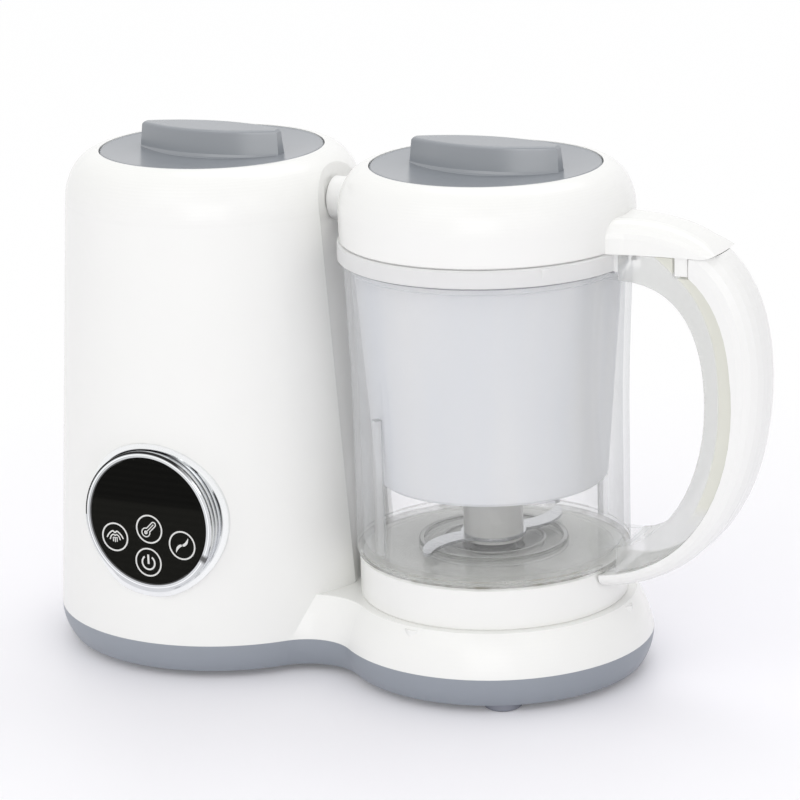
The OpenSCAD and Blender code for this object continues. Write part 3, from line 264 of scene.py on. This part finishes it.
def see_through(name, tint, edge_tint, body, haze, edge_haze, scatter=0.3, rough=0.04, edge_gloss=0.3,
                paint=None):
    """Clear or milky plastic: tinted sight lines, pale haze that grows towards the outline, a mirror skin."""
    t = Tree.material(name)
    streaks = t.stretched((70, 70, 5))
    wave = t.noise(1.0, 3, 0.5, streaks)
    normal = t.bump(t.noise(40, 1), 1.0, 0.015 * MM)
    facing = t.facing(normal)
    pull = t.math("POWER", facing, 2.5)
    shade = t.mix(t.span(wave, 0, 1), body, [c * f for c, f in zip(body, (0.93, 0.945, 0.97))])
    share = t.math("ADD", t.product(pull, edge_haze - haze), haze)
    if paint:
        shade, share = paint(t, shade, share, wave, streaks)
    through = t.bsdf("Transparent", t.mix(pull, tint, edge_tint))
    lit = t.blend(scatter, t.bsdf("Diffuse", shade, Normal=normal), t.bsdf("Translucent", shade, Normal=normal))
    skin = t.math("MULTIPLY_ADD", t.math("POWER", facing, 4.0), edge_gloss, 0.03)
    gloss = t.bsdf("Glossy", (1.0, 1.0, 1.0), Normal=normal, Roughness=rough)
    t.put(t.out.inputs["Surface"], t.blend(skin, t.blend(share, through, lit), gloss))
    return t.mat


def chrome(name):
    """Plated ring: a bright mirror, a dark line where the glass meets it, and painted reflections: a darker left
    face, dark bands, dark lines along its grooves and rolled edge, a dark spot, a highlight ring and a paler foot.
    """
    t = Tree.material(name)
    radius, turn = t.round_axis("X", "Z", (DISPLAY_X, DISPLAY_Z))[2:]
    depth = t.math("ADD", t.height("Y"), BEZEL_FACE)
    face = t.span(depth, 1, 0, 0.1, 0.3)
    barrel = t.within(radius, 27, 28.2, 0.1)
    painted_dark_upper_left = t.product(t.within(turn, 82, 150, 26), barrel)
    wall = t.product(t.within(depth, 0.5, 9, 0.1), barrel)
    groove_pitch = 2.5
    rows = t.span(t.math("SINE", t.product(depth, 2 * math.pi / groove_pitch)), 0, 1, 0.35, 0.75)
    edge = t.product(t.within(radius, 27.2, 27.9, 0.15), t.within(depth, -0.2, 0.7, 0.1))
    painted_dark_left = t.product(t.span(t.math("ABSOLUTE", turn), 0, 1, 95, 170), face)
    shade = t.mix(t.span(t.noise(45, 3), 0, 1), (0.76, 0.775, 0.785), (0.66, 0.675, 0.69))
    # Mask by mask: a painted darker left face; the dark line where the glass meets; a painted highlight ring on the
    # face; a painted paler foot; painted dark lines along the wall's grooves, darkest at the upper right; painted
    # dark bands on the upper left wall; a painted dark rolled edge; a painted dark spot.
    for mask, tone in (
        (t.product(painted_dark_left, t.span(radius, 0.9, 0.3, 25.3, 27.6)), (0.42, 0.43, 0.45)),
        (t.within(radius, 25.0, 25.6, 0.12), (0.10, 0.10, 0.10)),
        (t.product(t.within(radius, 26.5, 26.8, 0.12), face), (0.95, 0.96, 0.97)),
        (t.span(radius, 0, 1, 28.2, 28.6), (0.88, 0.89, 0.90)),
        (t.product(wall, rows, 0.35), (0.25, 0.25, 0.26)),
        (t.product(wall, rows, t.within(turn, 10, 80, 18)), (0.05, 0.05, 0.055)),
        (t.product(t.within(depth, 1.6, 4.4, 0.5), painted_dark_upper_left), (0.02, 0.02, 0.022)),
        (t.product(t.within(depth, 6.0, 6.8, 0.3), painted_dark_upper_left), (0.03, 0.03, 0.03)),
        (t.product(edge, t.within(turn, 60, 180, 20)), (0.03, 0.03, 0.03)),
        (t.product(t.within(turn, -29, -26, 3), t.within(depth, -0.1, 1.2, 0.3)), (0.16, 0.16, 0.16)),
    ):
        shade = t.mix(mask, shade, tone)
    t.principled(
        Base_Color=shade,
        Metallic=1.0,
        Roughness=t.span(t.noise(120, 3), 0.06, 0.1),
        Normal=t.bump(t.noise(30, 2), 1.0, 0.03 * MM),
    )
    return t.mat


def dark_glass(name):
    """Smoked display glass: the lamp field behind it shows as a paler lower part with fine level lines."""
    t = Tree.material(name)
    z = t.height()
    lines = t.math("MULTIPLY_ADD", t.math("SINE", t.product(z, 2.3)), 0.5, 0.5)
    field_top = DISPLAY_Z / MM + 6.5
    field = t.math("ADD", t.product(t.span(z, 1, 0, field_top, field_top + 1), 0.8), t.product(lines, 0.2))
    t.principled(
        Base_Color=t.mix(field, (0.002, 0.002, 0.0015), (0.0075, 0.0075, 0.006)),
        Roughness=t.span(t.noise(90, 3), 0.06, 0.1),
        Specular_IOR_Level=0.05,
        Normal=t.bump(t.noise(400, 2), 1.0, 0.0006 * MM),
    )
    return t.mat


# Each row: the function that makes the material, then its arguments in their order
LOOKS = {
    "white_gloss": (plastic, (0.885, 0.885, 0.865), (0.875, 0.875, 0.855), (0.2, 0.26), 420, 0.0012),
    # A 2% darker copy of white_gloss: painted shade for the handle shell
    "handle_white": (plastic, (0.865, 0.865, 0.85), (0.855, 0.855, 0.84), (0.2, 0.26), 420, 0.0012),
    "grey_plastic": (plastic, (0.235, 0.255, 0.28), (0.225, 0.245, 0.27), (0.25, 0.27), 1500, 0.002, 0.0, 2.1),
    "grey_base": (plastic, (0.30, 0.325, 0.365), (0.285, 0.31, 0.35), (0.36, 0.44), 1500, 0.012),
    "grey_rubber": (plastic, (0.24, 0.25, 0.29), (0.21, 0.22, 0.26), (0.6, 0.75), 900, 0.03),
    "green_board": (plastic, (0.03, 0.17, 0.07), (0.02, 0.12, 0.05), (0.35, 0.5)),
    "black_plastic": (plastic, (0.02, 0.02, 0.022), (0.015, 0.015, 0.016), (0.4, 0.55)),
    "black_rubber": (plastic, (0.015, 0.015, 0.015), (0.02, 0.02, 0.02), (0.6, 0.75)),
    "inner_plastic": (plastic, (0.62, 0.60, 0.54), (0.58, 0.56, 0.5), (0.4, 0.5)),
    "red_silicone": (plastic, (0.45, 0.08, 0.05), (0.4, 0.07, 0.04), (0.5, 0.6)),
    "nozzle_plastic": (plastic, (0.87, 0.87, 0.86), (0.85, 0.85, 0.84), (0.3, 0.4), 800, 0.003),
    "hub_plastic": (plastic, (0.60, 0.60, 0.58), (0.56, 0.56, 0.54), (0.2, 0.3), 800, 0.004, 0.2),
    "key_print": (plastic, (0.74, 0.74, 0.72), (0.68, 0.68, 0.66), (0.4, 0.5), 1500, 0.002),
    "zinc_steel": (metal, (0.66, 0.67, 0.70), (0.25, 0.4)),
    "cast_aluminium": (metal, (0.66, 0.67, 0.68), (0.4, 0.55)),
    "bronze": (metal, (0.50, 0.33, 0.14), (0.35, 0.5)),
    "blade_steel": (metal, (0.62, 0.63, 0.65), (0.15, 0.3), (0.1, 1, 1)),
    "chrome_ring": (chrome,),
    "black_glass": (dark_glass,),
    "milky_plastic": (see_through, (0.98, 0.985, 0.99), (0.96, 0.965, 0.98), (0.99, 0.992, 0.994),
                      0.94, 0.96, 0.33, 0.25, 0.12),
    "hose_silicone": (see_through, (0.9, 0.9, 0.88), (0.8, 0.8, 0.78), (0.8, 0.8, 0.77), 0.7, 0.9, 0.5, 0.3),
    "clear_silicone": (see_through, (0.92, 0.92, 0.92), (0.8, 0.8, 0.8), (0.8, 0.8, 0.8), 0.45, 0.8, 0.5, 0.2),
    "clear_plastic": (see_through, (0.995, 0.995, 0.995), (0.91, 0.914, 0.92), (0.96, 0.965, 0.97),
                      0.035, 0.38, 0.3, 0.03, 0.3, paint_jug),
}
M = {name: maker(name, *values) for name, (maker, *values) in LOOKS.items()}
# The handle shell takes the darker copy of white_gloss as painted shade
OWN_LOOK = {"base_tub": "grey_base", "handle_shell": "handle_white"}
for part in frame["record"]["subparts"]:
    o = N[part["node"]]
    o.data.materials.clear()
    o.data.materials.append(M[OWN_LOOK.get(part["node"], part["material_slot"])])


# ---------------------------------------------------------------- touch keys
def spline(points, per=6):
    """Catmull-Rom through the points, each a tuple of any length."""
    n = len(points)
    out = []
    for i in range(n - 1):
        p = [points[max(0, min(n - 1, i + k))] for k in (-1, 0, 1, 2)]
        for j in range(per):
            t = j / per
            out.append(tuple(
                0.5 * (2 * b + (c - a) * t + (2 * a - 5 * b + 4 * c - d) * t * t + (3 * b - a - 3 * c + d) * t ** 3)
                for a, b, c, d in zip(*p)))
    return out + [tuple(points[-1])]


def arc(cx, cz, r, start, end, n=40):
    """Points on a circle, with the angles in degrees."""
    angles = [math.radians(start + (end - start) * i / n) for i in range(n + 1)]
    return [(cx + r * math.cos(a), cz + r * math.sin(a)) for a in angles]


def ribbon(bm, points, width, at, closed=False):
    """A raised print line of the given width on the panel; width may be one number or one per point."""
    if closed and points[0] == points[-1]:
        points = points[:-1]
    n = len(points)
    w = width if isinstance(width, (list, tuple)) else [width] * n
    front, rear = GLASS_Y - 0.05 * MM, GLASS_Y + 0.02 * MM
    rows = []
    for i in range(n):
        a = points[(i - 1) % n] if closed or i else points[i]
        b = points[(i + 1) % n] if closed or i < n - 1 else points[i]
        dx, dz = b[0] - a[0], b[1] - a[1]
        length = math.hypot(dx, dz) or 1
        nx, nz = -dz / length * w[i] / 2, dx / length * w[i] / 2
        one, other = [(points[i][0] + s * nx, points[i][1] + s * nz) for s in (1, -1)]
        rows.append([bm.verts.new((DISPLAY_X + (at[0] + q[0]) * MM, y, DISPLAY_Z + (at[1] + q[1]) * MM))
                     for q, y in ((one, front), (other, front), (other, rear), (one, rear))])
    for i in range(n if closed else n - 1):
        a, b = rows[i], rows[(i + 1) % n]
        for k in range(4):
            bm.faces.new((a[k], a[(k + 1) % 4], b[(k + 1) % 4], b[k]))
    if not closed:
        bm.faces.new(rows[0][::-1])
        bm.faces.new(rows[-1])


def key_sign(name, at, draw):
    """One key's ring with its sign inside, at a place in millimetres from the display's middle."""
    bm = bmesh.new()
    ribbon(bm, arc(0, 0, 5.5, 0, 360, 64), 0.62, at, closed=True)
    draw(bm, at)
    bmesh.ops.recalc_face_normals(bm, faces=bm.faces)
    mesh = bpy.data.meshes.new(name)
    bm.to_mesh(mesh)
    bm.free()
    mesh.materials.append(M["key_print"])
    o = bpy.data.objects.new(name, mesh)
    scene.collection.objects.link(o)
    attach(o, "base")


def draw_steam(bm, at):
    outer = [(-3.65, -0.45), (-2.6, 1.15), (-1.0, 2.35), (0, 1.75), (1.0, 2.35), (2.6, 1.15), (3.65, -0.45)]
    inner = [(-2.25, -1.1), (-1.7, 0.3), (-0.75, 0.95), (0, 0.6), (0.75, 0.95), (1.7, 0.3), (2.25, -1.1)]
    ribbon(bm, spline(outer), 0.55, at)
    ribbon(bm, spline(inner), 0.5, at)
    for x in (-0.85, 0, 0.85):
        ribbon(bm, [(x, -0.35), (x, -2.1 + 0.25 * abs(x))], 0.42, at)
    ribbon(bm, [(-1.1, -0.3), (1.1, -0.3)], 0.4, at)


def draw_heat(bm, at):
    """A thermometer that leans by 45 degrees, drawn level and then turned about its bulb."""
    lean = math.radians(45)
    c, s = math.cos(lean), math.sin(lean)
    half, bulb, stem = 0.95, 1.75, 4.9
    join = math.degrees(math.asin(half / bulb))

    def leaning(points):
        return [(-1.5 + x * c - z * s, -1.45 + x * s + z * c) for x, z in points]

    outline = arc(0, 0, bulb, join, 360 - join, 30) + arc(stem, 0, half, -90, 90, 14)
    ribbon(bm, leaning(outline), 0.45, at, closed=True)
    ribbon(bm, leaning(arc(0, 0, 0.45, 0, 360, 16)), 0.6, at, closed=True)
    ribbon(bm, leaning([(0.5, 0), (stem, 0)]), 0.36, at)


def draw_blend(bm, at):
    blade = [(0.16, 0.02, 0.75), (1.0, 0.3, 1.05), (1.9, 1.15, 1.0), (2.45, 2.2, 0.62), (2.7, 3.1, 0.14)]
    line = spline(blade)
    for flip in (1, -1):
        ribbon(bm, [(flip * p[0], flip * p[1]) for p in line], [p[2] for p in line], at)


def draw_power(bm, at):
    ribbon(bm, arc(0, -0.15, 2.75, 125, 415), 0.7, at)
    ribbon(bm, [(0, -0.7), (0, 3.1)], 0.85, at)


key_sign("key_steam", (-15.1, -8.0), draw_steam)
key_sign("key_heat", (0.3, -3.1), draw_heat)
key_sign("key_blend", (14.6, -8.0), draw_blend)
key_sign("key_power", (-0.7, -16.6), draw_power)

# ---------------------------------------------------------------- camera
# Azimuth, elevation and roll, the point looked at and the focal length, fitted to the photo's outlines
azimuth, elevation, roll = (math.radians(a) for a in (26.313, 15.929, 1.697))
target = Vector((-2.17, 0, 101.63)) * MM
distance = 1.25562
focal_px, photo_px = 3231.36, 800
back = Vector((math.sin(azimuth) * math.cos(elevation), -math.cos(azimuth) * math.cos(elevation),
               math.sin(elevation)))
right = Vector((math.cos(azimuth), math.sin(azimuth), 0))
turned = Matrix((right, back.cross(right), back)).transposed().to_4x4()
cam = bpy.data.objects.new("camera", bpy.data.cameras.new("camera"))
scene.collection.objects.link(cam)
cam.matrix_world = Matrix.Translation(target + back * distance) @ turned @ Matrix.Rotation(-roll, 4, "Z")
cam.data.sensor_width = 36
cam.data.lens = focal_px / photo_px * 36
cam.data.clip_start, cam.data.clip_end = 0.05, 20
scene.camera = cam

# ---------------------------------------------------------------- studio
# The world is white to the camera and in reflections, and lights the object a little less from its sides
world = bpy.data.worlds.new("studio")
scene.world = world
world.use_nodes = True
w = Tree(world.node_tree)
path = w.node("LightPath").outputs
shown = w.largest(path["Is Camera Ray"], path["Is Glossy Ray"])
sideways = w.node("SeparateXYZ", Vector=w.node("TexCoord").outputs["Generated"]).outputs["X"]
light = w.span(w.product(sideways, sideways), 0.95, 0.62, 0, 1)
background = world.node_tree.nodes["Background"]
w.put(background.inputs["Color"], (1.0, 1.0, 1.0))
w.put(background.inputs["Strength"], w.span(shown, light, 1.0, 0, 1))


def area(name, place, aim, size, power):
    """A rectangular lamp: places and sizes in metres, power in watts."""
    d = bpy.data.lights.new(name, "AREA")
    d.shape = "RECTANGLE"
    d.size, d.size_y = size
    d.energy = power
    o = bpy.data.objects.new(name, d)
    scene.collection.objects.link(o)
    o.location = place
    o.rotation_euler = (Vector(aim) - Vector(place)).to_track_quat("-Z", "Y").to_euler()


area("key", (-0.35, -1.45, 1.35), (-0.02, 0, 0.1), (1.1, 1.1), 2.1)
area("front", (0.5, -1.4, 0.55), (0, 0, 0.1), (0.9, 0.7), 2.75)
area("fill", (1.4, -0.9, 0.9), (0.02, 0, 0.1), (0.9, 1.2), 1.5)
area("top", (0, 0.7, 1.6), (0, 0, 0), (1.4, 1.0), 5.5)

# The floor runs level behind the object and curves up into a backdrop
half_width, bend_y, bend_r = 4, 1.2, 1.0
bend = [math.radians(a) for a in range(10, 91, 10)]
profile = [(-3.0, 0.0), (bend_y, 0.0)]
profile += [(bend_y + bend_r * math.sin(a), bend_r - bend_r * math.cos(a)) for a in bend]
profile += [(bend_y + bend_r, 3.0)]
verts = [(x, y, z) for y, z in profile for x in (-half_width, half_width)]
faces = [(2 * i, 2 * i + 1, 2 * i + 3, 2 * i + 2) for i in range(len(profile) - 1)]
floor_mesh = bpy.data.meshes.new("floor")
floor_mesh.from_pydata(verts, [], faces)
for p in floor_mesh.polygons:
    p.use_smooth = True
floor = bpy.data.objects.new("floor", floor_mesh)
scene.collection.objects.link(floor)

# Its shadows show near the object and give way to white further off, for the camera and in reflections
t = Tree.material("floor")
base = t.principled(
    Base_Color=t.mix(t.span(t.noise(3, 3), 0, 1), (0.925, 0.915, 0.955), (0.915, 0.905, 0.945)),
    Roughness=t.span(t.noise(10, 3), 0.45, 0.5),
    Normal=t.bump(t.noise(300, 3), 0.2, 0.05 * MM),
)
glow = t.node("Emission", Strength=1.0, Color=(1, 1, 1)).outputs["Emission"]
path = t.node("LightPath").outputs
seen = t.largest(path["Is Camera Ray"], path["Is Glossy Ray"], path["Is Transmission Ray"])
xyz = t.split()
away = t.math("SQRT", t.math("ADD", t.math("POWER", xyz["X"], 2.0), t.math("POWER", xyz["Y"], 2.0)))
share = t.product(seen, t.span(away, 0.1, 0.97, 0.12, 0.4))
t.put(t.out.inputs["Surface"], t.blend(share, base, glow))
floor_mesh.materials.append(t.mat)

scene.view_settings.view_transform = "Standard"
# What is seen through the jug and the basket crosses more walls than Cycles allows by default
scene.cycles.transparent_max_bounces = 32
